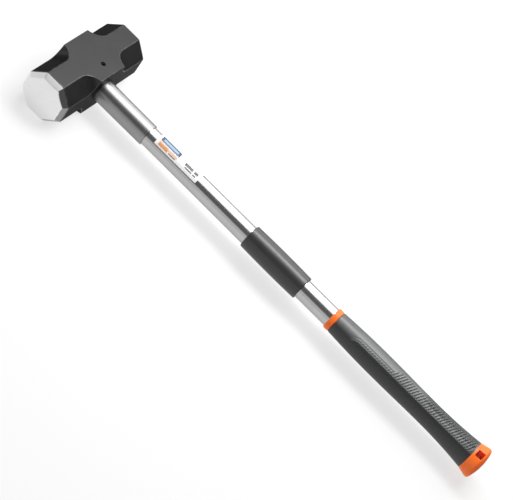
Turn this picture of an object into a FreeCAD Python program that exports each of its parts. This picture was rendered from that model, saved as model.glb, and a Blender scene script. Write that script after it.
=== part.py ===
import FreeCAD, Part
import math
import os
import re
import Sketcher
from FreeCAD import Placement, Rotation, Vector

# A two-handed sledge hammer with a tubular steel handle, lying on one cheek.
# +X runs along the handle from the head to the grip, the striking faces look
# along -Y and +Y, and +Z is up. The origin is on the lower cheek, under the
# middle of the head, so the handle's axis is half a head width above it.

SIZES = [
    # alias, value in mm or degrees, what it is
    ("head_width", 73, "square section of the head, cheek to cheek"),
    ("block_length", 53.4, "plain square middle of the head"),
    ("octagon_length", 171.8, "head between the outer edges of its two bevels"),
    ("cove_radius", 20.5, "hollow where a corner flat runs out into the block"),
    ("bevel_run", 7.8, "face bevel, measured along the head"),
    ("bevel_drop", 5.8, "face bevel, measured towards the middle"),
    ("crown_rise", 3, "how far a striking face bulges"),
    ("eye_chamfer", 1.2, "broken edge at both mouths of the eye"),
    ("eye_recess", 1, "handle end below the top of the head"),
    ("pin_place", 16.8, "cross pin, from the middle of the head"),
    ("pin_diameter", 6, "rolled spring pin"),
    ("pin_bore", 3.4, "hollow inside the spring pin"),
    ("pin_slit", 1.2, "open slit along the spring pin"),
    ("pin_recess", 1.2, "pin ends below the cheeks"),
    ("pin_chamfer", 0.8, "broken edge of the pin hole and of the pin"),
    ("collar_wall", 2.45, "collar where it fills the eye"),
    ("collar_tip_wall", 1.95, "collar at its far end"),
    ("collar_reach", 126.5, "middle of the head to the collar's far end"),
    ("collar_chamfer", 0.6, "broken edge of the collar's far end"),
    ("tube_diameter", 30, "steel handle tube"),
    ("tube_wall", 2, "wall of the handle tube"),
    ("label_place", 141, "middle of the head to the label"),
    ("label_length", 79.4, "label along the tube"),
    ("label_thickness", 0.15, "label stock"),
    ("label_wrap", 190, "how far the label goes round the tube"),
    ("label_clock", -44, "middle of the label, turned from the upper cheek"),
    ("sleeve_place", 322.5, "middle of the head to the centre sleeve"),
    ("sleeve_length", 102.4, "centre sleeve"),
    ("sleeve_wall", 3.1, "centre sleeve at its ends"),
    ("sleeve_bulge", 0.65, "rise of the sleeve's middle over its ends"),
    ("sleeve_round", 1.5, "rounded edge of the sleeve"),
    ("ring_place", 480.3, "middle of the head to the front ring"),
    ("ring_length", 8.8, "front ring"),
    ("ring_wall", 1.7, "front ring at its edges"),
    ("ring_bulge", 0.3, "rise of the ring's middle over its edges"),
    ("ring_round", 1, "rounded edge of the ring"),
    ("grip_length", 253.1, "rubber grip"),
    ("front_wall", 1.7, "grip where it meets the ring"),
    ("belly_place", 80, "thick part of the grip, from its front"),
    ("belly_wall", 4, "grip at its thick part"),
    ("waist_place", 176, "thin part of the grip, from its front"),
    ("waist_wall", 3, "grip at its thin part"),
    ("flare_wall", 7.05, "grip where it meets the end cap"),
    ("cap_flare", 17.2, "end cap from the grip to its rim"),
    ("cap_overhang", 4.1, "rim of the end cap, outside the grip's end"),
    ("cap_dome", 4.8, "end cap from its rim to its end"),
    ("cap_round", 4.5, "rounded rim of the end cap"),
    ("spigot_length", 30, "plug of the end cap inside the tube"),
    ("spigot_chamfer", 1.5, "lead-in of the plug"),
    ("lanyard_along", 11, "lanyard hole along the handle"),
    ("lanyard_across", 10.8, "lanyard hole across the handle"),
    ("lanyard_place", 8.95, "middle of the lanyard hole, from the grip"),
    ("cap_clock", 21, "lanyard hole, turned from the upper cheek"),
    ("press_gap", 0.05, "gap all round between pressed or moulded pieces"),
]
ALIASES = re.compile(r"\b(" + "|".join(size[0] for size in SIZES) + r")\b")

ANTICLOCKWISE = 1
CLOCKWISE = -1

# Places along the handle and distances from its axis that several pieces share.
HANDLE_TOP = "(eye_recess - head_width / 2)"
PIN_FROM_TOP = f"pin_place - {HANDLE_TOP}"
GRIP_START = "(ring_place + ring_length)"
GRIP_STOP = f"({GRIP_START} + grip_length)"
IN_TUBE = "(tube_diameter / 2 - tube_wall - press_gap)"
ON_TUBE = "(tube_diameter / 2 + press_gap)"
ON_COLLAR = f"({ON_TUBE} + collar_wall)"
ON_FLARE = f"({ON_TUBE} + flare_wall)"

doc = FreeCAD.newDocument("sledge_hammer")
sheet = doc.addObject("Spreadsheet::Sheet", "Sizes")
for row, (alias, size, meaning) in enumerate(SIZES, start=1):
    sheet.set(f"A{row}", meaning)
    sheet.set(f"B{row}", str(size))
    sheet.setAlias(f"B{row}", alias)
doc.recompute()


def bound(rule):
    """Return a rule as an expression that reads its sizes from the sheet."""
    return ALIASES.sub(r"Sizes.\1", rule)


def value(rule):
    """Return what a rule comes to with the present sizes."""
    return float(sheet.evalExpression(bound(rule)))


# ---- sketches and features ------------------------------------------------


def new_body(label, along="0", clock="0"):
    """Start a piece on the handle's axis, placed along it and turned round it."""
    body = doc.addObject("PartDesign::Body", label)
    body.Label = label
    body.Placement = Placement(Vector(), Rotation(Vector(1, 0, 0), value(clock)))
    body.setExpression("Placement.Base.x", bound(along))
    body.setExpression("Placement.Base.z", bound("head_width / 2"))
    if clock != "0":
        body.setExpression("Placement.Rotation.Angle", bound(clock))
    return body


def origin_part(body, role):
    """Return a body's own origin plane or axis."""
    return next(part for part in body.Origin.OriginFeatures if part.Role == role)


def new_sketch(body, name, plane="XY_Plane", tilt=0):
    """Start a sketch on an origin plane, tilted about the sketch's upright axis."""
    sketch = body.newObject("Sketcher::SketchObject", name)
    sketch.AttachmentSupport = [(origin_part(body, plane), "")]
    sketch.MapMode = "FlatFace"
    sketch.AttachmentOffset = Placement(Vector(), Rotation(Vector(0, 1, 0), tilt))
    return sketch


def bind(sketch, kind, places, rule):
    """Add a dimension and tie it to its rule."""
    index = sketch.addConstraint(Sketcher.Constraint(kind, *places, value(rule)))
    sketch.setExpression(f"Constraints[{index}]", bound(rule))


def hold_point(sketch, edge, end, across, up):
    """Hold one end of an edge at a place measured from the sketch's origin."""
    for kind, rule, axis in (("DistanceX", across, -2), ("DistanceY", up, -1)):
        size = value(rule)
        if rule == "0":
            sketch.addConstraint(Sketcher.Constraint("PointOnObject", edge, end, axis))
        elif size > 0:
            bind(sketch, kind, (-1, 1, edge, end), rule)
        else:
            bind(sketch, kind, (edge, end, -1, 1), f"-({rule})")


def arc_between(start, stop, radius, turn):
    """Return the short arc of a radius from start to stop, in a turning sense."""
    chord = stop - start
    reach = math.sqrt(radius**2 - (chord.Length / 2) ** 2)
    left = Vector(-chord.y, chord.x, 0).normalize()
    centre = (start + stop) / 2 + left * reach * turn
    first, last = (start, stop) if turn == ANTICLOCKWISE else (stop, start)
    angles = [math.atan2(p.y - centre.y, p.x - centre.x) for p in (first, last)]
    circle = Part.Circle(centre, Vector(0, 0, 1), radius)
    return Part.ArcOfCircle(circle, *angles)


def draw_outline(sketch, corners):
    """Draw a closed outline.

    A corner is (across, up), with a straight edge to the next corner, or
    (across, up, radius, turn), with an arc to the next corner.
    """
    points = [Vector(value(corner[0]), value(corner[1]), 0) for corner in corners]
    following = points[1:] + points[:1]
    ends = []
    for corner, start, stop in zip(corners, points, following):
        if len(corner) == 2:
            edge = sketch.addGeometry(Part.LineSegment(start, stop), False)
            ends.append((edge, 1, 2))
        else:
            radius, turn = corner[2:]
            arc = arc_between(start, stop, value(radius), turn)
            edge = sketch.addGeometry(arc, False)
            bind(sketch, "Radius", (edge,), radius)
            ends.append((edge, 1, 2) if turn == ANTICLOCKWISE else (edge, 2, 1))
    for corner, (edge, start, _), previous in zip(corners, ends, ends[-1:] + ends):
        joint = Sketcher.Constraint("Coincident", previous[0], previous[2], edge, start)
        sketch.addConstraint(joint)
        hold_point(sketch, edge, start, corner[0], corner[1])


def draw_circle(sketch, across, up, radius):
    """Draw a circle about a point of the sketch."""
    centre = Vector(value(across), value(up), 0)
    circle = Part.Circle(centre, Vector(0, 0, 1), value(radius))
    edge = sketch.addGeometry(circle, False)
    hold_point(sketch, edge, 3, across, up)
    bind(sketch, "Radius", (edge,), radius)


def turn_profile(body, name, corners, kind="Revolution", axis="H_Axis", sweep="360"):
    """Turn an outline about the handle's axis, or groove the body with it."""
    sketch = new_sketch(body, name + "_sketch")
    draw_outline(sketch, corners)
    feature = body.newObject("PartDesign::" + kind, name)
    feature.Profile = sketch
    feature.ReferenceAxis = (sketch, [axis])
    feature.Midplane = True
    feature.setExpression("Angle", bound(sweep))
    return feature


def cut_through(body, name, sketch):
    """Cut a sketch's outlines right through the body, both ways."""
    pocket = body.newObject("PartDesign::Pocket", name)
    pocket.Profile = sketch
    pocket.SideType = "Symmetric"
    pocket.setExpression("Length", bound("2 * head_width"))
    return pocket


def repeat_round(body, name, original, axis, count):
    """Repeat a feature evenly round one of the body's axes."""
    pattern = body.newObject("PartDesign::PolarPattern", name)
    pattern.Originals = [original]
    pattern.Axis = (origin_part(body, axis), [""])
    pattern.Angle = 360
    pattern.Occurrences = count
    body.Tip = pattern
    return pattern


def cross_hole(body, along):
    """Cut the cross pin's hole through both walls of a piece."""
    sketch = new_sketch(body, "pin_hole_sketch")
    draw_circle(sketch, along, "0", "pin_diameter / 2 + press_gap")
    return cut_through(body, "pin_hole", sketch)


def break_edges(body, name, kind, size, wanted):
    """Chamfer or fillet the edges of the body that a test picks out."""
    doc.recompute()
    base = body.Tip
    edges = enumerate(base.Shape.Edges, start=1)
    picked = [f"Edge{number}" for number, edge in edges if wanted(edge)]
    feature = body.newObject("PartDesign::" + kind, name)
    feature.Base = (base, picked)
    feature.setExpression("Radius" if kind == "Fillet" else "Size", bound(size))
    return feature


def is_circle(edge, radius):
    """Say whether an edge is a whole circle of a radius."""
    if edge.Degenerated or not edge.Closed:
        return False
    return isinstance(edge.Curve, Part.Circle) and abs(edge.Curve.Radius - radius) < 1e-4


# ---- head -----------------------------------------------------------------


def build_head():
    """Forge the head: a square block that runs out into two octagonal faces."""
    body = new_body("head")
    half = "(octagon_length / 2 + bevel_run + crown_rise)"

    square = new_sketch(body, "block_sketch", "XZ_Plane")
    side = "head_width / 2"
    draw_outline(square, [(f"-{side}", f"-{side}"), (side, f"-{side}"),
                          (side, side), (f"-{side}", side)])
    bar = body.newObject("PartDesign::Pad", "bar")
    bar.Profile = square
    bar.SideType = "Symmetric"
    bar.setExpression("Length", bound(f"2 * {half}"))

    # A corner flat stands as far from the axis as the sides do, which makes a
    # regular octagon. It ends in a hollow that climbs to the block's corner.
    corner = "head_width / sqrt(2)"
    depth = "(head_width / sqrt(2) - head_width / 2)"
    run = f"sqrt(cove_radius ^ 2 - (cove_radius - {depth}) ^ 2)"
    flats = new_sketch(body, "corner_sketch", tilt=-45)
    for end, turn in (("", ANTICLOCKWISE), ("-", CLOCKWISE)):
        draw_outline(flats, [
            (side, f"{end}(2 * {half})"),
            (side, f"{end}(block_length / 2 + {run})", "cove_radius", turn),
            (corner, f"{end}(block_length / 2)"),
            (f"2 * {side}", f"{end}(block_length / 2)"),
            (f"2 * {side}", f"{end}(2 * {half})"),
        ])
    relief = cut_through(body, "corner_relief", flats)
    repeat_round(body, "corner_reliefs", relief, "Y_Axis", 4)

    # The bevel's slope is carried on to the very end of the bar.
    slope = "bevel_drop / bevel_run"
    wedges = new_sketch(body, "bevel_sketch")
    for end in ("", "-"):
        draw_outline(wedges, [
            (side, f"{end}(octagon_length / 2)"),
            (f"{side} - (bevel_run + crown_rise) * {slope}", f"{end}{half}"),
            (f"2 * {side}", f"{end}{half}"),
            (f"2 * {side}", f"{end}(octagon_length / 2)"),
        ])
    bevel = cut_through(body, "face_bevel", wedges)
    repeat_round(body, "face_bevels", bevel, "Y_Axis", 8)

    flat = "(head_width / 2 - bevel_drop)"
    crown = f"(({flat} ^ 2 + crown_rise ^ 2) / (2 * crown_rise))"
    edge_drop = f"({crown} - sqrt({crown} ^ 2 - (0.55 * head_width) ^ 2))"
    for name, end, turn in (("front_crown", "-", ANTICLOCKWISE),
                            ("back_crown", "", CLOCKWISE)):
        turn_profile(body, name, [
            ("0", f"{end}{half}", crown, turn),
            ("0.55 * head_width", f"{end}({half} - {edge_drop})"),
            ("0.55 * head_width", f"{end}(2 * {half})"),
            ("0", f"{end}(2 * {half})"),
        ], "Groove", "V_Axis")

    bore = f"({ON_COLLAR} + press_gap)"
    turn_profile(body, "eye", [
        (f"-{side}", "0"),
        (f"-{side}", f"{bore} + eye_chamfer"),
        (f"eye_chamfer - {side}", bore),
        (f"{side} - eye_chamfer", bore),
        (side, f"{bore} + eye_chamfer"),
        (side, "0"),
    ], "Groove")

    cross_hole(body, "pin_place")
    hole = value("pin_diameter / 2 + press_gap")
    cheek = value(side)
    break_edges(body, "pin_hole_edges", "Chamfer", "pin_chamfer",
                lambda edge: is_circle(edge, hole)
                and abs(abs(edge.BoundBox.Center.z) - cheek) < 1e-4)


def build_roll_pin():
    """Roll the slit spring pin that locks the handle in the eye."""
    body = new_body("roll_pin", "pin_place")
    ring = new_sketch(body, "pin_sketch")
    draw_circle(ring, "0", "0", "pin_diameter / 2")
    draw_circle(ring, "0", "0", "pin_bore / 2")
    pin = body.newObject("PartDesign::Pad", "pin")
    pin.Profile = ring
    pin.SideType = "Symmetric"
    pin.setExpression("Length", bound("head_width - 2 * pin_recess"))
    outer = value("pin_diameter / 2")
    break_edges(body, "pin_ends", "Chamfer", "pin_chamfer",
                lambda edge: is_circle(edge, outer))
    slit = new_sketch(body, "slit_sketch")
    draw_outline(slit, [("0", "-pin_slit / 2"), ("pin_diameter", "-pin_slit / 2"),
                        ("pin_diameter", "pin_slit / 2"), ("0", "pin_slit / 2")])
    cut_through(body, "slit", slit)


# ---- handle ---------------------------------------------------------------


def build_eye_plug():
    """Turn the solid plug that keeps the tube from crushing in the eye."""
    body = new_body("eye_plug", HANDLE_TOP)
    length = "head_width - 2 * eye_recess"
    turn_profile(body, "plug", [("0", "0"), ("0", IN_TUBE), (length, IN_TUBE),
                                (length, "0")])
    cross_hole(body, PIN_FROM_TOP)


def build_collar():
    """Draw the collar that fills the eye and stiffens the handle below it."""
    body = new_body("collar", HANDLE_TOP)
    mouth = "head_width - eye_recess"
    length = f"collar_reach - {HANDLE_TOP}"
    tip = f"{ON_TUBE} + collar_tip_wall"
    turn_profile(body, "wall", [
        ("0", ON_TUBE),
        ("0", ON_COLLAR),
        (mouth, ON_COLLAR),
        (f"{length} - collar_chamfer", tip),
        (length, f"{tip} - collar_chamfer"),
        (length, ON_TUBE),
    ])
    cross_hole(body, PIN_FROM_TOP)


def build_shaft_tube():
    """Cut the plain steel tube that runs from the eye to the end cap."""
    body = new_body("shaft_tube", HANDLE_TOP)
    length = f"{GRIP_STOP} - {HANDLE_TOP}"
    bore = "tube_diameter / 2 - tube_wall"
    turn_profile(body, "wall", [
        ("0", bore),
        ("0", "tube_diameter / 2"),
        (length, "tube_diameter / 2"),
        (length, bore),
    ])
    cross_hole(body, PIN_FROM_TOP)


def build_wrap_label():
    """Wrap the thin printed label part of the way round the tube."""
    body = new_body("wrap_label", "label_place", "90 + label_clock")
    skin = f"{ON_TUBE} + label_thickness"
    turn_profile(body, "skin", [("0", ON_TUBE), ("0", skin), ("label_length", skin),
                                ("label_length", ON_TUBE)], sweep="label_wrap")


def build_band(label, place, name):
    """Turn a barrelled band with rounded edges that sits on the tube."""
    body = new_body(label, place)
    length, edge = f"{name}_length", f"{name}_round"
    skin = f"{ON_TUBE} + {name}_wall"
    half = f"({length} / 2 - {edge})"
    barrel = f"({half} ^ 2 + {name}_bulge ^ 2) / (2 * {name}_bulge)"
    turn_profile(body, "band", [
        ("0", ON_TUBE),
        ("0", f"{skin} - {edge}", edge, CLOCKWISE),
        (edge, skin, barrel, CLOCKWISE),
        (f"{length} - {edge}", skin, edge, CLOCKWISE),
        (length, f"{skin} - {edge}"),
        (length, ON_TUBE),
    ])


def swell_radius(run, rise):
    """Return the radius of an arc that climbs a rise over a run from level."""
    return f"((({run}) ^ 2 + ({rise}) ^ 2) / (2 * ({rise})))"


def build_grip():
    """Mould the rubber grip: a belly, a waist and a flare, as tangent arcs."""
    body = new_body("grip", GRIP_START)
    belly, waist = f"({ON_TUBE} + belly_wall)", f"({ON_TUBE} + waist_wall)"
    front_arc = swell_radius("belly_place", "belly_wall - front_wall")
    half_drop = "(belly_wall - waist_wall) / 2"
    middle_arc = swell_radius("(waist_place - belly_place) / 2", half_drop)
    flare_arc = swell_radius("grip_length - waist_place",
                             "flare_wall - waist_wall")
    turn_profile(body, "rubber", [
        ("0", ON_TUBE),
        ("0", f"{ON_TUBE} + front_wall", front_arc, CLOCKWISE),
        ("belly_place", belly, middle_arc, CLOCKWISE),
        ("(belly_place + waist_place) / 2", f"{belly} - {half_drop}", middle_arc,
         ANTICLOCKWISE),
        ("waist_place", waist, flare_arc, ANTICLOCKWISE),
        ("grip_length", ON_FLARE),
        ("grip_length", ON_TUBE),
    ])


def build_end_cap():
    """Mould the end cap: a plug in the tube, a flared rim and a shallow dome."""
    body = new_body("end_cap", f"{GRIP_STOP} - spigot_length", "cap_clock")
    rim = f"({ON_FLARE} + cap_overhang)"
    rim_place = "spigot_length + cap_flare"
    turn_profile(body, "cap", [
        ("0", "0"),
        ("0", f"{IN_TUBE} - spigot_chamfer"),
        ("spigot_chamfer", IN_TUBE),
        ("spigot_length", IN_TUBE),
        ("spigot_length", ON_FLARE),
        (rim_place, rim, swell_radius(rim, "cap_dome"), CLOCKWISE),
        (f"{rim_place} + cap_dome", "0"),
    ])
    rim_radius = value(rim)
    break_edges(body, "rim_round", "Fillet", "cap_round",
                lambda edge: is_circle(edge, rim_radius))

    hole = new_sketch(body, "lanyard_sketch")
    middle = "(spigot_length + lanyard_place)"
    draw_outline(hole, [
        (f"{middle} - lanyard_along / 2", "-lanyard_across / 2"),
        (f"{middle} + lanyard_along / 2", "-lanyard_across / 2"),
        (f"{middle} + lanyard_along / 2", "lanyard_across / 2"),
        (f"{middle} - lanyard_along / 2", "lanyard_across / 2"),
    ])
    cut_through(body, "lanyard_hole", hole)


build_head()
build_roll_pin()
build_eye_plug()
build_collar()
build_shaft_tube()
build_wrap_label()
build_band("centre_sleeve", "sleeve_place", "sleeve")
build_band("front_ring", "ring_place", "ring")
build_grip()
build_end_cap()

# ---- checks and files -----------------------------------------------------

doc.recompute()
for item in doc.Objects:
    if "Invalid" in item.State or "Error" in item.State:
        raise RuntimeError(f"{item.Label} could not be worked out")

bodies = [item for item in doc.Objects if item.TypeId == "PartDesign::Body"]
for body in bodies:
    if body.Shape.isNull() or not body.Shape.isValid() or len(body.Shape.Solids) != 1:
        raise RuntimeError(f"{body.Label} is not one sound solid")

os.makedirs("parts", exist_ok=True)
for body in bodies:
    body.Shape.exportStep(f"parts/{body.Label}.step")
    box = body.Shape.optimalBoundingBox(True, False)
    print(f"{body.Label}: {body.Shape.Volume / 1000:.1f} cm3, "
          f"X {box.XMin:.1f} to {box.XMax:.1f}, Z {box.ZMin:.1f} to {box.ZMax:.1f}")
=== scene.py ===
# %% [markdown]
# # A sledge hammer with a tubular steel handle
# The hammer lies on one cheek of its head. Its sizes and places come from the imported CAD
# model, the frame, and every piece here is a better looking skin for one CAD node. All
# lengths are in metres, so a size in millimetres is written as a number times MM.

# %% Load the frame
import math

import bmesh
import bpy
from mathutils import Matrix, Vector


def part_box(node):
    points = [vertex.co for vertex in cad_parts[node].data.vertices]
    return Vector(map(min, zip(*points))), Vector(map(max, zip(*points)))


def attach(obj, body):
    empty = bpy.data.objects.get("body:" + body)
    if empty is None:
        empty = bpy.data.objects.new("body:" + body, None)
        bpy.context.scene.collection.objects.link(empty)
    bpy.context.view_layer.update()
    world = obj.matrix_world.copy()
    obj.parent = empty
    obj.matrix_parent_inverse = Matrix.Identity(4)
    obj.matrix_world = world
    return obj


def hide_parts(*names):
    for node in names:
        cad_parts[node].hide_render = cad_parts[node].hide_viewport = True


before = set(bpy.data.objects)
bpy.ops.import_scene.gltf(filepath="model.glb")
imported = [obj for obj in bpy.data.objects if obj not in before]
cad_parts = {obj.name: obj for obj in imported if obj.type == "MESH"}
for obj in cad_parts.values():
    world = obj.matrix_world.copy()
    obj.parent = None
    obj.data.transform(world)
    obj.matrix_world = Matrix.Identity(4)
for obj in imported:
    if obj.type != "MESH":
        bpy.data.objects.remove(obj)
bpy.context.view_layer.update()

MM = 0.001

# %% [markdown]
# ## Sizes that several pieces share
# The head's box gives the handle's axis: it runs along X through the middle of the head.
# A place on a turned piece is then a distance along the handle and a radius. The clock
# angle goes round the handle, from 0 at the upper cheek towards the front striking face.

# %% Shared sizes
HEAD_LOW, HEAD_HIGH = (Vector(corner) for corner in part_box("head"))
HALF_WIDTH = (HEAD_HIGH.z - HEAD_LOW.z) / 2
AXIS_HEIGHT = (HEAD_HIGH.z + HEAD_LOW.z) / 2
PRESS_GAP = 0.05 * MM


def span(node):
    """Return where a node starts and stops along the handle, and its largest radius."""
    low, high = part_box(node)
    return low[0], high[0], (high[2] - low[2]) / 2


TUBE_RADIUS = span("shaft_tube")[2]
TUBE_WALL = 2 * MM
ON_TUBE = TUBE_RADIUS + PRESS_GAP
print("half width", HALF_WIDTH, "tube radius", TUBE_RADIUS)

# %% [markdown]
# ## Writing node trees as sums
# A shader or a Geometry Nodes tree could be wired one link at a time, but it is easier to
# read as arithmetic. A Wire wraps one socket, and adding or multiplying wires adds the Math
# nodes that do it.


# %% A wire that can be added and multiplied
class Wire:
    """One output socket that can be used in Python arithmetic."""

    def __init__(self, board, socket):
        self.board = board
        self.socket = socket

    def maths(self, operation, *values):
        """Apply a Math node to these values."""
        inputs = dict(enumerate(values))
        return self.board.node("ShaderNodeMath", {"operation": operation}, inputs)

    def __add__(self, other):
        return self.maths("ADD", self, other)

    def __radd__(self, other):
        return self.maths("ADD", other, self)

    def __sub__(self, other):
        return self.maths("SUBTRACT", self, other)

    def __rsub__(self, other):
        return self.maths("SUBTRACT", other, self)

    def __mul__(self, other):
        return self.maths("MULTIPLY", self, other)

    def __rmul__(self, other):
        return self.maths("MULTIPLY", other, self)

    def __truediv__(self, other):
        return self.maths("DIVIDE", self, other)

    def __abs__(self):
        return self.maths("ABSOLUTE", self)

    def ramp(self, start, stop):
        """Return 0 below start and 1 above stop, with a smooth rise between them."""
        settings = {"interpolation_type": "SMOOTHSTEP"}
        inputs = {0: self, 1: start, 2: stop, 3: 0.0, 4: 1.0}
        return self.board.node("ShaderNodeMapRange", settings, inputs)

    def band(self, start, stop, soft):
        """Return 1 between start and stop and 0 outside, with soft edges."""
        return self.ramp(start - soft, start + soft) * (
            1 - self.ramp(stop - soft, stop + soft))


# %% [markdown]
# Every other node comes from one method, Board.node, which takes the node's type, its
# settings and what its sockets hold. Two more methods save typing for what the finishes use
# most, a blend of colours and a noise.


# %% A board that holds a node tree
class Board:
    """A node tree that is built from wires."""

    def __init__(self, tree):
        self.tree = tree

    def node(self, kind, settings=None, inputs=None, output=0):
        """Add a node, set it up, feed its sockets and return one output."""
        node = self.tree.nodes.new(kind)
        for name, value in (settings or {}).items():
            setattr(node, name, value)
        for name, value in (inputs or {}).items():
            if isinstance(value, Wire):
                self.tree.links.new(value.socket, node.inputs[name])
            else:
                node.inputs[name].default_value = value
        return Wire(self, node.outputs[output])

    def mix_colour(self, factor, first, second):
        """Blend two colours, each a wire or a tuple, by a factor."""
        settings = {"data_type": "RGBA"}
        return self.node("ShaderNodeMix", settings, {0: factor, 6: first, 7: second}, 2)

    def grain(self, vector, scale, detail=2.0, roughness=0.5):
        """Return a noise value from 0 to 1 at this many waves to the metre."""
        inputs = {"Vector": vector, "Scale": scale, "Detail": detail,
                  "Roughness": roughness}
        return self.node("ShaderNodeTexNoise", {}, inputs)


# %% [markdown]
# ## Meshes from outlines
# Nearly every handle piece is turned or moulded round. A Screw modifier could turn an
# outline, but swept points can also carry values, so a few lines of mesh code do it here.
# The corners of an outline are rounded first, each with an arc that meets both its sides.


# %% Outlines
def rounded(corners, steps=5):
    """Round an outline's corners; a corner is (along, radius, rounding)."""
    outline = []
    for index, (along, radius, rounding) in enumerate(corners):
        here = Vector((along, radius))
        if rounding == 0:
            outline.append(here)
            continue
        before = Vector(corners[index - 1][:2]) - here
        after = Vector(corners[(index + 1) % len(corners)][:2]) - here
        half_angle = before.angle(after) / 2
        reach = rounding / math.tan(half_angle)
        centre = here + (before.normalized() + after.normalized()).normalized() * (
            rounding / math.sin(half_angle))
        start = here + before.normalized() * reach - centre
        stop = here + after.normalized() * reach - centre
        turn = start.angle_signed(stop)
        for step in range(steps + 1):
            outline.append(centre + Matrix.Rotation(-turn * step / steps, 2) @ start)
    return outline


def evenly(start, stop, count):
    """Return count + 1 values from start to stop."""
    return [start + (stop - start) * step / count for step in range(count + 1)]


# %% [markdown]
# The sweep stores how far along the handle and how far round it each point is. The label
# and the grip use those two values for their patterns.


# %% Sweep
def sweep(name, outline, clocks, whole_turn=True):
    """Sweep a closed outline round the handle through these clock angles."""
    points, alongs, rounds = [], [], []
    for clock in clocks:
        for along, radius in outline:
            points.append((along, -radius * math.sin(clock),
                           AXIS_HEIGHT + radius * math.cos(clock)))
            alongs.append(along)
            rounds.append(clock)
    size, turns = len(outline), len(clocks)
    faces = []
    for turn in range(turns if whole_turn else turns - 1):
        here, there = turn * size, ((turn + 1) % turns) * size
        for index in range(size):
            following = (index + 1) % size
            faces.append((here + index, here + following, there + following,
                          there + index))
    if not whole_turn:
        faces.append(tuple(range(size))[::-1])
        faces.append(tuple(range((turns - 1) * size, turns * size)))
    mesh = bpy.data.meshes.new(name)
    mesh.from_pydata(points, [], faces)
    for title, values in (("along", alongs), ("clock", rounds)):
        attribute = mesh.attributes.new(title, "FLOAT", "POINT")
        attribute.data.foreach_set("value", values)
    return mesh


def whole_circle(count=96):
    """Return clock angles all the way round."""
    return evenly(0, math.tau, count)[:-1]


# %% [markdown]
# A swept or cut mesh can have doubled points or faces that point inwards. Each one is
# cleaned before it is used, and shaded smooth except at its real edges.


# %% Clean meshes
def tidy(mesh, sharp_degrees=35):
    """Merge doubles, point the faces outwards and shade smooth up to an angle."""
    work = bmesh.new()
    work.from_mesh(mesh)
    bmesh.ops.remove_doubles(work, verts=work.verts, dist=1e-7)
    bmesh.ops.dissolve_degenerate(work, edges=work.edges, dist=1e-7)
    bmesh.ops.recalc_face_normals(work, faces=work.faces)
    work.to_mesh(mesh)
    work.free()
    mesh.shade_smooth()
    mesh.set_sharp_from_angle(angle=math.radians(sharp_degrees))
    return mesh


def evaluated(piece):
    """Return a plain mesh of a piece with its modifiers applied."""
    bpy.context.view_layer.update()
    graph = bpy.context.evaluated_depsgraph_get()
    return bpy.data.meshes.new_from_object(piece.evaluated_get(graph))


def new_object(name, mesh):
    """Put a mesh in the scene."""
    piece = bpy.data.objects.new(name, mesh)
    bpy.context.collection.objects.link(piece)
    return piece


# %% [markdown]
# Holes are cut with exact Booleans, the way a drill or a mould core makes them. A cutter is
# swept round a thin core, because points on the axis itself would fall on each other, and
# the core is closed afterwards.

# %% Cutting
CORE = 0.1 * MM


def carve(mesh, cutters):
    """Cut solid meshes out of a mesh and return the result."""
    piece = new_object("work", mesh)
    tools = []
    for cutter in cutters:
        tool = new_object("cutter", cutter)
        cut = piece.modifiers.new("cut", "BOOLEAN")
        cut.operation = "DIFFERENCE"
        cut.solver = "EXACT"
        cut.object = tool
        tools.append(tool)
    result = evaluated(piece)
    for item in [piece] + tools:
        bpy.data.objects.remove(item)
    return result


def close_core(mesh):
    """Close the thin hollow that a sweep leaves along its axis."""
    work = bmesh.new()
    work.from_mesh(mesh)
    core = [face for face in work.faces
            if all(abs(math.hypot(v.co.y, v.co.z - AXIS_HEIGHT) - CORE) < 1e-6
                   for v in face.verts)]
    bmesh.ops.delete(work, geom=core, context="FACES")
    bmesh.ops.holes_fill(work, edges=work.edges)
    work.to_mesh(mesh)
    work.free()
    return tidy(mesh)


def turned_solid(corners, count=96):
    """Turn an outline that starts and ends at the core into a solid."""
    outline = [Vector(corner[:2]) for corner in corners]
    return close_core(sweep("solid", outline, whole_circle(count)))


# %% [markdown]
# A finished piece stands for one CAD node: it hides that node, rides on the one body that
# this rigid hammer has, and takes the materials that it is given.


# %% Finished pieces
def finish_piece(name, mesh, node, material_slot, *materials):
    """Make a piece that stands for a CAD node and takes these materials."""
    piece = new_object(name, mesh)
    while len(mesh.materials) < len(materials):
        mesh.materials.append(None)
    for index, material in enumerate(materials):
        mesh.materials[index] = material
    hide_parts(node)
    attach(piece, "root")
    print(name, len(mesh.polygons), "faces, stands for", node)
    return piece


# %% [markdown]
# ## A material to start from
# Every finish here is a Principled shader. Its noises read Object coordinates, so that a
# pattern has a real scale, in waves to the metre, and stays put when the camera moves.


# %% Material helper
def new_finish(name, **sockets):
    """Start a material: return it, its board, its shader node and Object coordinates."""
    material = bpy.data.materials.new(name)
    material.use_nodes = True
    board = Board(material.node_tree)
    shader = material.node_tree.nodes["Principled BSDF"]
    for socket, value in sockets.items():
        shader.inputs[socket.replace("_", " ")].default_value = value
    place = board.node("ShaderNodeTexCoord", output=3)
    return material, board, shader, place


def feed(board, shader, socket, wire):
    """Link a wire to one of the shader's sockets."""
    board.tree.links.new(wire.socket, shader.inputs[socket])


def bump(board, shader, height, strength, depth):
    """Turn a height wire into small relief; depth is the relief in metres."""
    inputs = {"Strength": strength, "Distance": depth, "Height": height}
    feed(board, shader, "Normal", board.node("ShaderNodeBump", {}, inputs))


def grey(level):
    """Return a neutral colour."""
    return (level, level, level, 1.0)


# %% [markdown]
# ## The forged head
# A sledge head is one forging: a square block round the eye that runs out into an octagon
# at each end. The corner flats end in hollows, the outer rims are bevelled and the
# striking faces are slightly domed. Booleans could cut the corner flats from a block, but
# they leave ragged rims at the hollows. A loft follows the rule exactly: each station along
# the head is a square whose corners are cut off by a changing amount.

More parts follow.
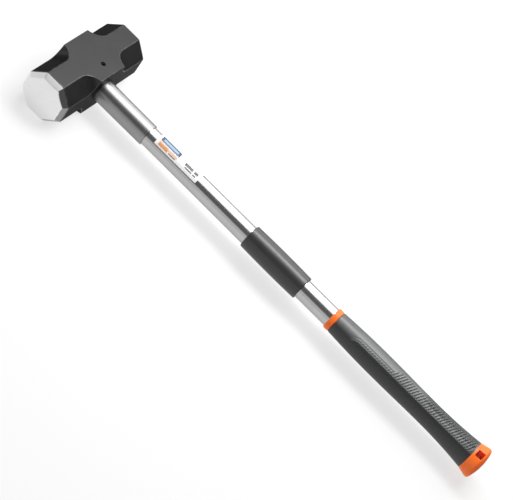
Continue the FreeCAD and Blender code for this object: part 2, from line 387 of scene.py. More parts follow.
# %% Head sizes
BLOCK_HALF = 26.7 * MM
FLAT_END = 85.9 * MM
COVE_RADIUS = 20.5 * MM
BEVEL_RUN = 7.8 * MM
BEVEL_DROP = 5.8 * MM
CROWN_RISE = 3.0 * MM
FACE_END = FLAT_END + BEVEL_RUN + CROWN_RISE
FLAT_INSET = HALF_WIDTH - BEVEL_DROP
CROWN_RADIUS = (FLAT_INSET**2 + CROWN_RISE**2) / (2 * CROWN_RISE)
CORNER_DEPTH = HALF_WIDTH * (math.sqrt(2) - 1)
COVE_RUN = math.sqrt(COVE_RADIUS**2 - (COVE_RADIUS - CORNER_DEPTH) ** 2)
COVE_STEPS = 12
FACET_PARTS = 6
CROWN_RINGS = 6
print("head reaches", FACE_END, "cove run", COVE_RUN)


# %% Head sections
def side_half(station):
    """Return half the width of a side of the section at a place along the head."""
    into_cove = BLOCK_HALF + COVE_RUN - abs(station)
    if into_cove <= 0:
        cut_distance = HALF_WIDTH
    else:
        rise = math.sqrt(max(0, COVE_RADIUS**2 - into_cove**2))
        cut_distance = HALF_WIDTH + COVE_RADIUS - rise
    return min(HALF_WIDTH, cut_distance * math.sqrt(2) - HALF_WIDTH)


def head_stations():
    """Return the places along the head where its section changes."""
    widest = math.asin(COVE_RUN / COVE_RADIUS)
    cove = [BLOCK_HALF + COVE_RUN - COVE_RADIUS * math.sin(angle)
            for angle in evenly(widest, 0, COVE_STEPS)]
    half = cove + [FLAT_END]
    return [-station for station in reversed(half)] + half


def section(station):
    """Return the eight corners of the head's section, in order round it."""
    half, full = side_half(station), HALF_WIDTH
    ring = [(full, -half), (full, half), (half, full), (-half, full),
            (-full, half), (-full, -half), (-half, -full), (half, -full)]
    return [(x, station, AXIS_HEIGHT + z) for x, z in ring]


# %% [markdown]
# Each end is closed by eight bevel facets and a shallow dome. A facet meets the dome in a
# slightly bowed line, which is found by a few rounds of correction.


# %% Head ends
def crown_point(angle, facet_angle):
    """Return the radius at which a bevel facet meets the dome at this angle."""
    station = FLAT_END + BEVEL_RUN
    for _ in range(8):
        inset = HALF_WIDTH - BEVEL_DROP / BEVEL_RUN * (station - FLAT_END)
        radius = inset / math.cos(angle - facet_angle)
        station = FACE_END - dome_drop(radius)
    return radius, angle


def dome_drop(radius):
    """Return how far the domed face has fallen away at a radius."""
    return CROWN_RADIUS - math.sqrt(CROWN_RADIUS**2 - radius**2)


def face_point(radius, angle, end):
    """Return a point of the domed striking face."""
    return (radius * math.cos(angle), end * (FACE_END - dome_drop(radius)),
            AXIS_HEIGHT + radius * math.sin(angle))


def side_faces(last):
    """Return the faces between the first section and the last one."""
    faces = []
    for side in range(0, 8, 2):
        edge = [station * 8 + side for station in range(last + 1)]
        other = [station * 8 + side + 1 for station in range(last, -1, -1)]
        faces.append(edge + other)
    for corner in range(1, 8, 2):
        other = (corner + 1) % 8
        for station in range(last):
            here, there = station * 8, (station + 1) * 8
            faces.append((here + corner, here + other, there + other, there + corner))
    return faces


def add_end(points, faces, end, station):
    """Add the bevel facets and the dome of one end of the head."""
    rim = []
    for facet in range(8):
        facet_angle = facet * math.pi / 4
        for step in range(FACET_PARTS):
            angle = facet_angle + math.pi / 4 * (step / FACET_PARTS - 0.5)
            rim.append(crown_point(angle, facet_angle))
    first = len(points)
    for ring in range(CROWN_RINGS):
        share = 1 - ring / CROWN_RINGS
        points += [face_point(radius * share, angle, end) for radius, angle in rim]
    points.append(face_point(0, 0, end))
    centre, size = len(points) - 1, len(rim)
    for facet in range(8):
        inner = [first + (facet * FACET_PARTS + step) % size
                 for step in range(FACET_PARTS, -1, -1)]
        faces.append([station * 8 + facet, station * 8 + (facet + 1) % 8] + inner)
    for ring in range(CROWN_RINGS):
        for index in range(size):
            here = first + ring * size + index
            beside = first + ring * size + (index + 1) % size
            if ring < CROWN_RINGS - 1:
                faces.append((here, beside, beside + size, here + size))
            else:
                faces.append((here, beside, centre))


# %% [markdown]
# The sections and the two ends together make one closed shell.


# %% Head loft
def head_mesh():
    """Build the head's shell without its eye and pin hole."""
    stations = head_stations()
    last = len(stations) - 1
    points = [point for station in stations for point in section(station)]
    faces = side_faces(last)
    add_end(points, faces, -1, 0)
    add_end(points, faces, 1, last)
    mesh = bpy.data.meshes.new("head")
    mesh.from_pydata(points, [], faces)
    return tidy(mesh)


sharp_shell = head_mesh()
print("sharp shell", len(sharp_shell.polygons), "faces")


# %% [markdown]
# The forging's outer edges are soft. A Bevel modifier rounds them before the eye and the pin
# hole are cut, because the small edges round a hole would otherwise hold the rounding back.
# The strips that it makes get a finish of their own, where paint wears first. The striking
# faces and most of the bevels are ground bright. The bevels that face the handle take a
# darker copy of the ground steel, which is painted shade.

# %% Head edges
EDGE, GROUND, SHADED_BEVEL = 1, 2, 3
EDGE_ROUNDING = 0.9 * MM
EDGE_ANGLE = math.radians(25)
PAINT_MARGIN = 0.6 * MM
NEAR = 0.1 * MM


def round_edges(mesh):
    """Round the head's edges and mark the rounded strips and the ground faces."""
    piece = new_object("work", mesh)
    for _ in range(4):
        mesh.materials.append(None)
    bevel = piece.modifiers.new("rounding", "BEVEL")
    bevel.width = EDGE_ROUNDING
    bevel.segments = 4
    bevel.limit_method = "ANGLE"
    bevel.angle_limit = EDGE_ANGLE
    bevel.material = EDGE
    result = evaluated(piece)
    bpy.data.objects.remove(piece)
    for face in result.polygons:
        reach = abs(face.center.y) - FLAT_END
        towards_handle = face.normal.x > 0.4
        if reach > PAINT_MARGIN:
            # Bevels that face the handle take the darker steel: painted shade.
            face.material_index = SHADED_BEVEL if towards_handle else GROUND
        if reach > BEVEL_RUN - NEAR:
            face.material_index = GROUND
    return result


soft_shell = round_edges(sharp_shell)
print("soft shell", len(soft_shell.polygons), "faces")

# %% [markdown]
# The eye runs from the top of the head to the handle's side, and the pin hole crosses it
# through both cheeks. Both have chamfered mouths.

# %% Eye and pin hole
EYE_RADIUS = span("collar")[2] + PRESS_GAP
EYE_CHAMFER = 1.2 * MM
PIN_LOW, PIN_HIGH = (Vector(corner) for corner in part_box("roll_pin"))
PIN_RADIUS = (PIN_HIGH.y - PIN_LOW.y) / 2
PIN_PLACE = PIN_LOW.x + PIN_RADIUS
PIN_CHAMFER = 0.8 * MM
PIN_SIDES = 48


def chamfered_hole(radius, chamfer, count):
    """Make the solid that cuts a hole along the handle, with chamfered mouths."""
    inner = HALF_WIDTH - chamfer
    outer = HALF_WIDTH + chamfer
    mouth = radius + 2 * chamfer
    return turned_solid([(-outer, CORE), (-outer, mouth), (-inner, radius),
                         (inner, radius), (outer, mouth), (outer, CORE)], count)


def upright(mesh, place):
    """Stand a mesh that was swept round the handle up through the cheeks."""
    turn = Matrix.Rotation(math.radians(-90), 4, "Y")
    centre = Vector((0, 0, AXIS_HEIGHT))
    mesh.transform(Matrix.Translation(centre + Vector((place, 0, 0))) @ turn
                   @ Matrix.Translation(-centre))
    return mesh


eye = chamfered_hole(EYE_RADIUS, EYE_CHAMFER, 96)
pin_hole = upright(chamfered_hole(PIN_RADIUS + PRESS_GAP, PIN_CHAMFER, PIN_SIDES), PIN_PLACE)
head_shell = tidy(carve(soft_shell, [eye, pin_hole]), 40)
print("head shell", len(head_shell.polygons), "faces")

# %% [markdown]
# ### Paint, worn edges and ground steel
# The head is dipped in black paint with a little orange peel over the forging's slow
# waves. The striking faces are ground bright after painting, so they are bare metal with
# fine scratches all one way. On the rounded edges the paint is thin and patchy.


# %% Head finishes
def forging_relief(board, place):
    """Return the height of a painted forging: slow waves and fine orange peel."""
    waves = board.grain(place, 90, 2)
    peel = board.grain(place, 900, 3)
    return waves * 0.7 + peel * 0.3


def black_paint():
    """Make the black paint: near-metal shading keeps it dark at a glancing angle too."""
    material, board, shader, place = new_finish(
        "black_paint", Metallic=0.9, Specular_Tint=grey(0.3))
    cloud = board.grain(place, 35, 4, 0.6)
    tone = board.mix_colour(cloud, grey(0.036), grey(0.046))
    feed(board, shader, "Base Color", tone)
    feed(board, shader, "Roughness", cloud * 0.1 + 0.3)
    bump(board, shader, forging_relief(board, place), 0.25, 0.25 * MM)
    return material


def worn_edge():
    """Make the thin paint on the rounded edges, rubbed through in patches."""
    material, board, shader, place = new_finish(
        "worn_edge", IOR=1.5, Specular_IOR_Level=0.4)
    patches = board.grain(place, 160, 4, 0.7)
    rubbed = patches.ramp(0.45, 0.7)
    tone = board.mix_colour(rubbed, grey(0.012), grey(0.07))
    feed(board, shader, "Base Color", tone)
    feed(board, shader, "Roughness", 0.42 - rubbed * 0.08)
    bump(board, shader, forging_relief(board, place), 0.2, 0.2 * MM)
    return material


def ground_steel(name, dark, light, haze):
    """Make bare ground steel with fine scratches one way."""
    material, board, shader, place = new_finish(name, Metallic=1.0)
    stretch = board.node("ShaderNodeMapping", {}, {
        "Vector": place, "Rotation": (0, math.radians(35), 0), "Scale": (1, 1, 30)})
    scratches = board.grain(stretch, 130, 3, 0.6)
    smudge = board.grain(place, 45, 3, 0.6)
    tone = board.mix_colour(scratches, grey(dark), grey(light))
    feed(board, shader, "Base Color", tone)
    feed(board, shader, "Roughness", smudge * 0.14 + scratches * 0.1 + haze)
    bump(board, shader, scratches, 0.15, 0.05 * MM)
    return material


# The second ground steel is a darker copy, painted shade for the bevels that face the
# handle.
head = finish_piece("head_forging", head_shell, "head", "forged_steel",
                    black_paint(), worn_edge(),
                    ground_steel("ground_face", 0.74, 0.92, 0.4),
                    ground_steel("shaded_ground_bevel", 0.2, 0.32, 0.2))
flat_normals = head.modifiers.new("flat_normals", "WEIGHTED_NORMAL")
flat_normals.keep_sharp = True

# %% [markdown]
# ## Steel handle pieces
# The collar fills the eye and stiffens the first part of the handle, where a missed blow
# would land. The tube runs on through it to the end cap. The pin goes through both, so they
# get its hole too.

# %% Collar and tube
COLLAR_TOP, COLLAR_TIP, COLLAR_RADIUS = span("collar")
TIP_RADIUS = ON_TUBE + 1.95 * MM
TOP_ROUNDING = 0.2 * MM
TIP_ROUNDING = 0.6 * MM
TUBE_ROUNDING = 0.3 * MM


def drilled(mesh):
    """Drill the pin's hole through a handle piece."""
    radius = PIN_RADIUS + PRESS_GAP
    drill = turned_solid([(-HALF_WIDTH, CORE), (-HALF_WIDTH, radius),
                          (HALF_WIDTH, radius), (HALF_WIDTH, CORE)], PIN_SIDES)
    return tidy(carve(mesh, [upright(drill, PIN_PLACE)]))


def collar_mesh():
    """Turn the collar: parallel inside the eye, then tapering slightly to its tip."""
    outline = rounded([
        (COLLAR_TOP, ON_TUBE, 0),
        (COLLAR_TOP, COLLAR_RADIUS, TOP_ROUNDING),
        (HALF_WIDTH, COLLAR_RADIUS, 0),
        (COLLAR_TIP, TIP_RADIUS, TIP_ROUNDING),
        (COLLAR_TIP, ON_TUBE, 0)])
    return drilled(sweep("collar", outline, whole_circle()))


def tube_mesh():
    """Turn the tube with broken edges at both ends."""
    start, stop, radius = span("shaft_tube")
    outline = rounded([
        (start, radius - TUBE_WALL, 0),
        (start, radius, TUBE_ROUNDING),
        (stop, radius, TUBE_ROUNDING),
        (stop, radius - TUBE_WALL, 0)], 3)
    return drilled(sweep("tube", outline, whole_circle()))


# %% [markdown]
# Both are plated. The drawing lines are a noise that is stretched five hundred times along
# the tube, so it is nearly even that way and fine across it. The collar's plating is
# darker and duller than the tube's.


# %% Plating
def plated_steel(name, tone_low, tone_high, haze):
    """Make satin plating with faint drawing lines along the tube."""
    material, board, shader, place = new_finish(name, Metallic=1.0)
    stretch = board.node("ShaderNodeMapping", {}, {"Vector": place,
                                                   "Scale": (0.002, 1, 1)})
    lines = board.grain(stretch, 260, 1)
    cloud = board.grain(place, 25, 3, 0.6)
    tone = board.mix_colour(cloud, grey(tone_low), grey(tone_high))
    feed(board, shader, "Base Color", tone)
    feed(board, shader, "Roughness", lines * 0.02 + cloud * 0.03 + haze)
    return material


tube_plating = plated_steel("tube_plating", 0.42, 0.47, 0.19)
collar_plating = plated_steel("collar_plating", 0.25, 0.3, 0.3)
finish_piece("eye_collar", collar_mesh(), "collar", "tube_steel", collar_plating)
finish_piece("handle_tube", tube_mesh(), "shaft_tube", "tube_steel", tube_plating)

# %% [markdown]
# The slit spring pin and the plug inside the tube's end are simple shapes that hardly show,
# so they keep their CAD meshes and only take a finish.


# %% Pin and plug finishes
def plain_finish(name, colour, roughness, metallic=0.0):
    """Make a simple finish with a slightly uneven shine."""
    material, board, shader, place = new_finish(name, Metallic=metallic,
                                                Base_Color=colour)
    feed(board, shader, "Roughness", board.grain(place, 300) * 0.15 + roughness)
    return material


for node, finish in (
        ("roll_pin", plain_finish("spring_steel", grey(0.03), 0.5, 1.0)),
        ("eye_plug", plain_finish("plug_plastic", grey(0.03), 0.5))):
    part = bpy.data.objects[node]
    part.data.materials.clear()
    part.data.materials.append(finish)
    print(node, "keeps its CAD shape")

# %% [markdown]
# ## Wrap label
# The label is a white film wrapped half way round the tube. Its print is generic: a blue
# box, an orange box below it, and two rows of small dark bars further along. It could be
# unwrapped and painted, but boxes are easy to write as bands of the two values that the
# sweep stored, in millimetres along the handle and degrees round it.

# %% Label
LABEL_START, LABEL_STOP = span("wrap_label")[:2]
LABEL_THICKNESS = 0.15 * MM
LABEL_SKIN = ON_TUBE + LABEL_THICKNESS
LABEL_CLOCK = math.radians(-44)
LABEL_HALF_TURN = math.radians(95)


def label_mesh():
    """Curve the film round the tube."""
    outline = [Vector(corner) for corner in (
        (LABEL_START, ON_TUBE), (LABEL_START, LABEL_SKIN),
        (LABEL_STOP, LABEL_SKIN), (LABEL_STOP, ON_TUBE))]
    clocks = evenly(LABEL_CLOCK - LABEL_HALF_TURN, LABEL_CLOCK + LABEL_HALF_TURN, 64)
    return tidy(sweep("label", outline, clocks, whole_turn=False))


# %% [markdown]
# A printed box has a name, its two ends in millimetres with their softness, its two sides in
# degrees with theirs, a strength and a colour. The print runs slightly askew on the film.

# %% Print
PRINT_SHIFT = 1.0
PRINT_SKEW = 0.035
PRINTED_BOXES = (
    ("blue", (143.5, 179, 0.3), (-31, 15.5, 1), 1.0, (0.015, 0.05, 0.105, 1)),
    ("pale", (147.5, 175, 0.8), (-14, 4, 3), 0.8, (0.27, 0.4, 0.54, 1)),
    ("orange", (143.5, 161, 0.8), (18, 43, 2), 1.0, (0.58, 0.26, 0.115, 1)),
    ("peach", (161, 178, 0.8), (18, 34, 3), 1.0, (0.57, 0.39, 0.3, 1)),
    ("rule", (163, 176, 1), (36, 42, 1.5), 1.0, (0.19, 0.08, 0.05, 1)),
)
PRINTED_ROWS = (
    ((190.5, 215, 0.4), (0.5, 20, 1)),
    ((193, 213, 0.4), (25, 33, 1)),
)
ROW_BREAK = (205.5, 208, 0.4)


def stored_value(board, title):
    """Read a value that is stored on a mesh's points."""
    return board.node("ShaderNodeAttribute", {"attribute_name": title}, {}, 2)


def label_print():
    """Make the white film with its printed boxes and bars."""
    material, board, shader, place = new_finish("label_film")
    clock = stored_value(board, "clock") * (180 / math.pi)
    along = stored_value(board, "along") / MM - clock * PRINT_SKEW - PRINT_SHIFT
    tone = grey(0.75)
    for title, length, turn, strength, colour in PRINTED_BOXES:
        box = along.band(*length) * clock.band(*turn) * strength
        tone = board.mix_colour(box, tone, colour)
        print("printed box", title)

    letters = (along * 0.55).maths("FRACT", along * 0.55).band(0.15, 1.2, 0.1)
    upper, lower = (along.band(*length) * clock.band(*turn)
                    for length, turn in PRINTED_ROWS)
    bars = (upper + lower) * letters * (1 - along.band(*ROW_BREAK))
    tone = board.mix_colour(bars, tone, grey(0.012))
    feed(board, shader, "Base Color", tone)
    feed(board, shader, "Roughness", bars * 0.4 + 0.3)
    return material


finish_piece("label_wrap", label_mesh(), "wrap_label", "label_print", label_print())

# %% [markdown]
# ## Moulded bands
# The dark guard sleeve at mid handle and the orange ring in front of the grip are slightly
# barrelled bands with rounded edges.


# %% Bands
def arc_rise(distance, run, rise):
    """Return how far an arc that rises over a run has risen after a distance."""
    radius = (run**2 + rise**2) / (2 * rise)
    return radius - math.sqrt(radius**2 - distance**2)


def band_mesh(node, bulge, rounding):
    """Turn a barrelled band on the tube."""
    start, stop, largest = span(node)
    middle = (start + stop) / 2
    run = (stop - start) / 2 - rounding
    outline = [Vector((start, ON_TUBE))]
    edge = largest - bulge - rounding
    for angle in evenly(0, math.pi / 2, 5):
        outline.append(Vector((start + rounding * (1 - math.cos(angle)),
                               edge + rounding * math.sin(angle))))
    for along in evenly(middle - run, middle + run, 16)[1:-1]:
        outline.append(Vector((along, largest - arc_rise(along - middle, run, bulge))))
    for angle in evenly(math.pi / 2, 0, 5):
        outline.append(Vector((stop - rounding * (1 - math.cos(angle)),
                               edge + rounding * math.sin(angle))))
    outline.append(Vector((stop, ON_TUBE)))
    return tidy(sweep(node, outline, whole_circle()))


def rubber(name, low, high, gloss, panel=None):
    """Make moulded rubber with a fine grain, and a panel of a second colour that also
    carries painted shade and painted highlight.
    """
    material, board, shader, place = new_finish(name, IOR=1.52)
    grain = board.grain(place, 1400, 3, 0.6)
    cloud = board.grain(place, 40, 3, 0.6)
    tone = board.mix_colour(cloud, low, high)
    dull = grain * 0.12 + cloud * 0.08 + gloss
    if panel:
        panel_and_shade = board.node("ShaderNodeAttribute", {"attribute_name": "panel"}, {}, 2)
        tone = board.mix_colour(panel_and_shade, tone, panel)
        dull = dull - panel_and_shade * 0.1
    feed(board, shader, "Base Color", tone)
    feed(board, shader, "Roughness", dull)
    bump(board, shader, grain, 0.25, 0.06 * MM)
    return material


def orange_plastic():
    """Make the glossy orange plastic of the ring and the cap."""
    material, board, shader, place = new_finish("orange_plastic", IOR=1.33)
    cloud = board.grain(place, 60, 3, 0.6)
    tone = board.mix_colour(cloud, (0.9, 0.14, 0.015, 1), (0.94, 0.18, 0.025, 1))
    butt = span("end_cap")[1]
    along = board.node("ShaderNodeSeparateXYZ", {}, {"Vector": place})
    dull_end = along.ramp(butt - 6 * MM, butt - 4 * MM) * 0.4
    feed(board, shader, "Base Color", tone)
    feed(board, shader, "Roughness", cloud * 0.12 + dull_end + 0.32)
    return material


sleeve_rubber = rubber("sleeve_rubber", grey(0.023), grey(0.03), 0.22)
orange = orange_plastic()
finish_piece("guard_sleeve", band_mesh("centre_sleeve", 0.65 * MM, 1.5 * MM),
             "centre_sleeve", "sleeve_rubber", sleeve_rubber)
finish_piece("grip_ring", band_mesh("front_ring", 0.3 * MM, 1 * MM),
             "front_ring", "orange_plastic", orange)

# %% [markdown]
# ## Grip
# The grip swells to a belly, narrows to a waist and flares at the butt. Those three lines
# are arcs that meet smoothly, so the outline is worked out from a few radii. Half of the
# grip's round is a panel with a pattern, and the mesh is finer there.

# %% Grip sizes and surface
GRIP_START, GRIP_STOP, FLARE_RADIUS = span("grip")
FRONT_RADIUS = ON_TUBE + 1.7 * MM
BELLY_RADIUS = ON_TUBE + 4.0 * MM
WAIST_RADIUS = ON_TUBE + 3.0 * MM
BELLY = GRIP_START + 80 * MM
WAIST = GRIP_START + 176 * MM
PANEL_CLOCK = math.radians(-48)
PANEL_HALF_TURN = math.radians(91)
GRIP_EDGE = 0.8 * MM


def grip_radius(along):
    """Return the grip's radius at a place along the handle."""
    between = (WAIST - BELLY) / 2
    fall = (BELLY_RADIUS - WAIST_RADIUS) / 2
    if along < BELLY:
        return BELLY_RADIUS - arc_rise(BELLY - along, BELLY - GRIP_START,
                                       BELLY_RADIUS - FRONT_RADIUS)
    if along < BELLY + between:
        return BELLY_RADIUS - arc_rise(along - BELLY, between, fall)
    if along < WAIST:
        return WAIST_RADIUS + arc_rise(WAIST - along, between, fall)
    return WAIST_RADIUS + arc_rise(along - WAIST, GRIP_STOP - WAIST,
                                   FLARE_RADIUS - WAIST_RADIUS)


def grip_mesh():
    """Sweep the grip's outline, with close points where the pattern goes."""
    plain_end = GRIP_START + 22 * MM
    teeth_end = GRIP_START + 92 * MM
    alongs = evenly(GRIP_START + GRIP_EDGE, plain_end, 14)
    alongs += evenly(plain_end, teeth_end, 90)[1:]
    alongs += evenly(teeth_end, GRIP_STOP, 300)[1:]
    outline = [Vector((GRIP_START, ON_TUBE)),
               Vector((GRIP_START, FRONT_RADIUS - GRIP_EDGE))]
    outline += [Vector((along, grip_radius(along))) for along in alongs]
    outline.append(Vector((GRIP_STOP, ON_TUBE)))
    panel = evenly(PANEL_CLOCK - PANEL_HALF_TURN * 1.1,
                   PANEL_CLOCK + PANEL_HALF_TURN * 1.1, 130)
    back = evenly(panel[-1], panel[0] + math.tau, 28)[1:-1]
    return tidy(sweep("grip", outline, panel + back), 50)


print("grip", GRIP_START, GRIP_STOP)

# %% [markdown]
# ### The pattern on the grip
# The pattern follows a rule, so Geometry Nodes makes it: each point moves along its own
# radius by a height that is a sum of a border bead, slanted ribs and a cross-cut. Every
# size is a named input of the node group, in millimetres or degrees.

# %% Grip pattern tree
RELIEF_INPUTS = {
    "Panel start": 30.0, "Panel flare": 5.0, "Panel half width": 28.7,
    "Bead width": 0.9, "Bead height": 0.2, "Groove depth": 0.35,
    "Tooth start": 34.0, "Tooth length": 4.6,
    "Rib start": 108.0, "Rib stop": 251.5, "Rib pitch": 4.4, "Rib lean": 0.45,
    "Rib length": 14.5, "Rib height": 1.3,
    "Cut start": 160.0, "Cut pitch": 4.2, "Cut depth": 1.0,
}


def relief_group():
    """Build the node group that raises the grip's pattern."""
    tree = bpy.data.node_groups.new("grip_relief", "GeometryNodeTree")
    tree.interface.new_socket("Geometry", in_out="INPUT",
                              socket_type="NodeSocketGeometry")
    for name in RELIEF_INPUTS:
        tree.interface.new_socket(name, in_out="INPUT", socket_type="NodeSocketFloat")
    tree.interface.new_socket("Finish", in_out="INPUT",
                              socket_type="NodeSocketMaterial")
    tree.interface.new_socket("Geometry", in_out="OUTPUT",
                              socket_type="NodeSocketGeometry")
    board = Board(tree)
    source = tree.nodes.new("NodeGroupInput")
    given = {socket.name: Wire(board, socket) for socket in source.outputs
             if socket.name}

    def stored(title):
        """Read one of the values that the sweep stored on each point."""
        return board.node("GeometryNodeInputNamedAttribute", {"data_type": "FLOAT"},
                          {"Name": title})

    clock = stored("clock")
    along = (stored("along") - GRIP_START) / MM
    turned = clock - PANEL_CLOCK
    across = abs(turned) * (WAIST_RADIUS / MM)

    start = given["Panel start"]
    flare = (1 - along.ramp(start - 4.0, start + 13.0)) * given["Panel flare"]
    inset = given["Panel half width"] + flare - across
    bead_reach = along.ramp(start - 3.0, start + 3.0) * (
        1 - along.ramp(given["Rib start"] - 8.0, given["Rib start"] + 8.0))
    bead_width = given["Bead width"]
    bead = inset.band(0.0, bead_width, 0.35) * bead_reach * given["Bead height"]
    tooth_end = bead_width + given["Tooth length"]
    groove = (inset.band(tooth_end, tooth_end + 0.8, 0.3) * bead_reach
              * given["Groove depth"])

    rib_phase = (along - inset * given["Rib lean"]) / given["Rib pitch"]
    rib_wave = rib_phase.maths("SINE", rib_phase * math.tau)
    grown = along.ramp(given["Rib start"] - 12.0, given["Rib start"] + 10.0)
    rib_top = given["Tooth length"] + grown * (given["Rib length"]
                                               - given["Tooth length"])
    rib_zone = (inset.ramp(bead_width, bead_width + 0.8)
                * (1 - (inset - rib_top).ramp(-1.0, 1.5))
                * along.ramp(given["Tooth start"], given["Tooth start"] + 8.0)
                * (1 - along.ramp(given["Rib stop"] - 1.5, given["Rib stop"])))
    bold = grown * 0.6 + 0.4
    ribs = rib_wave * 0.5 * rib_zone * bold * given["Rib height"]

    def cut(phase):
        """Return 1 in the middle of each groove of one family."""
        wave = phase.maths("COSINE", phase * math.tau)
        return wave.ramp(0.1, 0.9)

    around = turned * (WAIST_RADIUS / MM)
    first = cut((along + around) / given["Cut pitch"])
    second = cut((along - around) / given["Cut pitch"])
    cut_zone = (inset.ramp(given["Rib length"] * 0.4, given["Rib length"] * 0.6)
                * along.ramp(given["Cut start"] - 12.0, given["Cut start"] + 12.0)
                * (1 - along.ramp(given["Rib stop"] - 1.5, given["Rib stop"])))
    cuts = first.maths("MAXIMUM", first, second) * cut_zone * given["Cut depth"]

    height = (bead - groove + ribs - cuts) * MM
    offset = board.node("ShaderNodeCombineXYZ", {}, {
        0: 0.0, 1: clock.maths("SINE", clock) * height * -1.0,
        2: clock.maths("COSINE", clock) * height})
    moved = board.node("GeometryNodeSetPosition", {}, {
        "Geometry": given["Geometry"], "Offset": offset})
    crisp = along.ramp(start - 4.0, start + 6.0)
    facing = inset.ramp(0.0, 0.6) * crisp + inset.ramp(0.5, 8.0) * (1 - crisp)
    # The panel value is the panel's second colour with painted shade and highlight: darker
    # in the grooves, along the middle and towards the butt, and lighter on the ribs.
    groove_shade = (cuts + (0.5 - rib_wave * 0.5) * rib_zone * bold).ramp(0.0, 1.0)
    centre_line_shade = 1 - inset.ramp(14.0, 19.0) * 0.4
    butt_shade = 1 - along.ramp(225.0, 253.0) * 0.4
    panel = (facing * centre_line_shade * butt_shade
             * (0.42 + rib_zone * bold * 0.58 - groove_shade * 0.8))
    marked = board.node("GeometryNodeStoreNamedAttribute", {"data_type": "FLOAT"}, {
        "Geometry": moved, "Name": "panel", "Value": panel})
    whole = board.node("GeometryNodeRealizeInstances", {}, {"Geometry": marked})
    painted = board.node("GeometryNodeSetMaterial", {}, {
        "Geometry": whole, "Material": given["Finish"]})
    sink = tree.nodes.new("NodeGroupOutput")
    tree.links.new(painted.socket, sink.inputs["Geometry"])
    return tree


# %% [markdown]
# The pattern is run on the swept surface and the result is kept as a plain mesh. Its stored
# panel value also drives the rubber's colour: the panel's second colour, with painted shade
# in the grooves, along the panel's middle and towards the butt, and a painted highlight on
# the ribs.


# %% Grip
def with_relief(mesh, material):
    """Run the pattern on the grip's surface and return the result as a mesh."""
    piece = new_object("work", mesh)
    nodes = piece.modifiers.new("relief", "NODES")
    nodes.node_group = relief_group()
    for item in nodes.node_group.interface.items_tree:
        if item.in_out == "INPUT" and item.name in RELIEF_INPUTS:
            nodes[item.identifier] = RELIEF_INPUTS[item.name]
        if item.in_out == "INPUT" and item.name == "Finish":
            nodes[item.identifier] = material
    result = evaluated(piece)
    bpy.data.objects.remove(piece)
    return result


grip_rubber = rubber("grip_rubber", grey(0.016), grey(0.022), 0.34,
                     panel=(0.185, 0.195, 0.19, 1))
grip_shape = with_relief(grip_mesh(), grip_rubber)
finish_piece("grip_rubber", grip_shape, "grip", "grip_rubber", grip_rubber)

# %% [markdown]
# ## End cap
# The cap flares on from the grip to a rounded rim and closes with a shallow dome. A square
# lanyard hole goes straight through it, turned a little round the handle.

# %% End cap
CAP_START, CAP_STOP = span("end_cap")[:2]
CAP_CLOCK = math.radians(21)
CAP_RIM = GRIP_STOP + 17.2 * MM
RIM_RADIUS = FLARE_RADIUS + 4.1 * MM
CAP_DOME = 4.8 * MM
CAP_ROUND = 4.5 * MM
CAP_FRONT_EDGE = 0.4 * MM
SPIGOT_RADIUS = TUBE_RADIUS - TUBE_WALL - PRESS_GAP
SPIGOT_CHAMFER = 1.5 * MM
HOLE_PLACE = GRIP_STOP + 8.95 * MM
HOLE_ALONG = 11.0 * MM
HOLE_ACROSS = 10.8 * MM


def cap_mesh():
    """Turn the cap and cut its lanyard hole."""
    dome = [(CAP_STOP - arc_rise(radius, RIM_RADIUS, CAP_DOME), radius, 0)
            for radius in evenly(RIM_RADIUS, CORE, 12)[2:]]
    outline = rounded([
        (CAP_START, CORE, 0),
        (CAP_START, SPIGOT_RADIUS - SPIGOT_CHAMFER, 0),
        (CAP_START + SPIGOT_CHAMFER, SPIGOT_RADIUS, 0),
        (GRIP_STOP, SPIGOT_RADIUS, 0),
        (GRIP_STOP, FLARE_RADIUS, CAP_FRONT_EDGE),
        (CAP_RIM, RIM_RADIUS, CAP_ROUND)] + dome, 8)
    solid = close_core(sweep("cap", outline, whole_circle()))
    bore = new_box(HOLE_PLACE, HOLE_ALONG, HOLE_ACROSS, 2.4 * RIM_RADIUS)
    return tidy(carve(solid, [bore]))


def new_box(place, along, across, tall):
    """Make a box on the handle's axis, turned to the lanyard hole's clock angle."""
    work = bmesh.new()
    bmesh.ops.create_cube(work, size=1)
    centre = Vector((place, 0, AXIS_HEIGHT))
    bmesh.ops.transform(work, verts=work.verts, matrix=(
        Matrix.Translation(centre) @ Matrix.Rotation(CAP_CLOCK, 4, "X")
        @ Matrix.Diagonal((along, across, tall, 1))))
    mesh = bpy.data.meshes.new("box")
    work.to_mesh(mesh)
    work.free()
    return mesh


finish_piece("butt_cap", cap_mesh(), "end_cap", "orange_plastic", orange)

# %% [markdown]
# ## Camera, floor and light
# A long lens from above and in front looks down on the upper cheek and the front face
# alike. The camera is rolled, so that the handle falls away to the lower right.

# %% Camera
AIM = Vector((0.3425, 0, AXIS_HEIGHT - 9.5 * MM))
VIEW_AZIMUTH = math.radians(7.42)
VIEW_ELEVATION = math.radians(44.29)
VIEW_ROLL = math.radians(39.62)
VIEW_DISTANCE = 2.7307
LENS = 140.3

backwards = Vector((math.sin(VIEW_AZIMUTH) * math.cos(VIEW_ELEVATION),
                    -math.cos(VIEW_AZIMUTH) * math.cos(VIEW_ELEVATION),
                    math.sin(VIEW_ELEVATION)))
lens = bpy.data.cameras.new("camera")
lens.lens = LENS
lens.clip_end = 50
camera = bpy.data.objects.new("camera", lens)
bpy.context.collection.objects.link(camera)
level = backwards.to_track_quat("Z", "Y").to_matrix()
camera.matrix_world = (Matrix.Translation(AIM + backwards * VIEW_DISTANCE)
                       @ (level @ Matrix.Rotation(VIEW_ROLL, 3, "Z")).to_4x4())
bpy.context.scene.camera = camera
bpy.context.scene.view_settings.view_transform = "Standard"

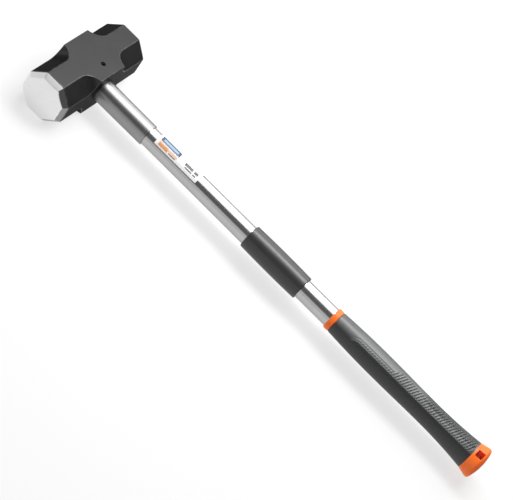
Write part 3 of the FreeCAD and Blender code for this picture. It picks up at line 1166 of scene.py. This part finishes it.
# %% [markdown]
# The floor is pale paper with a painted glow, which fills in the shadows so that they stay
# faint. The glow is full in a strip along the handle and halves outside it, a painted pool
# of light, which leaves the steel something darker to mirror.


# %% Floor
ACROSS_STRIP = (-0.843, 0.537)
STRIP_HALF = 0.5
STRIP_FADE = 1.0


def floor_paper():
    """Make the pale paper with its painted glow and painted pool of light."""
    material, board, shader, place = new_finish("floor_paper", Roughness=0.9,
                                                Base_Color=grey(0.21))
    # The emission is painted light: the paper glows though it is no lamp.
    shader.inputs["Emission Strength"].default_value = 0.68
    split = board.node("ShaderNodeSeparateXYZ", {}, {"Vector": place}).socket.node
    east, north = (Wire(board, split.outputs[axis]) for axis in range(2))
    across = (east - AIM.x) * ACROSS_STRIP[0] + north * ACROSS_STRIP[1]
    light_pool_fade = abs(across).ramp(STRIP_HALF, STRIP_FADE)
    painted_glow = board.mix_colour(light_pool_fade, grey(1.0), grey(0.5))
    feed(board, shader, "Emission Color", painted_glow)
    return material


floor_mesh = bpy.data.meshes.new("floor")
floor_mesh.from_pydata([(-9, -9, 0), (9, -9, 0), (9, 9, 0), (-9, 9, 0)], [],
                       [(0, 1, 2, 3)])
floor_mesh.materials.append(floor_paper())
floor = new_object("floor", floor_mesh)


# %% [markdown]
# Four soft boxes light the hammer: two above it and a little behind, a weak one low in
# front, and a small one beside the head for its front face.


# %% Lights
def softbox(name, place, aim, width, height, power):
    """Hang a soft rectangular light that faces a point."""
    light = bpy.data.lights.new(name, "AREA")
    light.shape = "RECTANGLE"
    light.size = width
    light.size_y = height
    light.energy = power
    lamp = bpy.data.objects.new(name, light)
    bpy.context.collection.objects.link(lamp)
    lamp.matrix_world = (Matrix.Translation(Vector(place))
                         @ (Vector(place) - Vector(aim)).to_track_quat("Z", "Y")
                         .to_matrix().to_4x4())


MIDDLE = (0.25, 0, AXIS_HEIGHT)


def hung(angle, distance):
    """Return a place at an angle from straight up, measured towards the front."""
    turn = math.radians(angle)
    return MIDDLE[0], -distance * math.sin(turn), AXIS_HEIGHT + distance * math.cos(turn)


softbox("broad_light", hung(-33, 1.2), MIDDLE, 1.5, 2.3, 26)
softbox("key_light", hung(-17, 1.1), MIDDLE, 1.2, 0.36, 13)
softbox("front_light", hung(78, 1.4), MIDDLE, 1.8, 0.56, 2.4)
HEAD_FRONT = (0, -FACE_END, AXIS_HEIGHT)
softbox("side_light", (-1.1, -0.33, 0.25), HEAD_FRONT, 0.5, 0.5, 0.9)
world = bpy.data.worlds.new("studio")
world.use_nodes = True
world.node_tree.nodes["Background"].inputs["Color"].default_value = grey(0.17)
bpy.context.scene.world = world
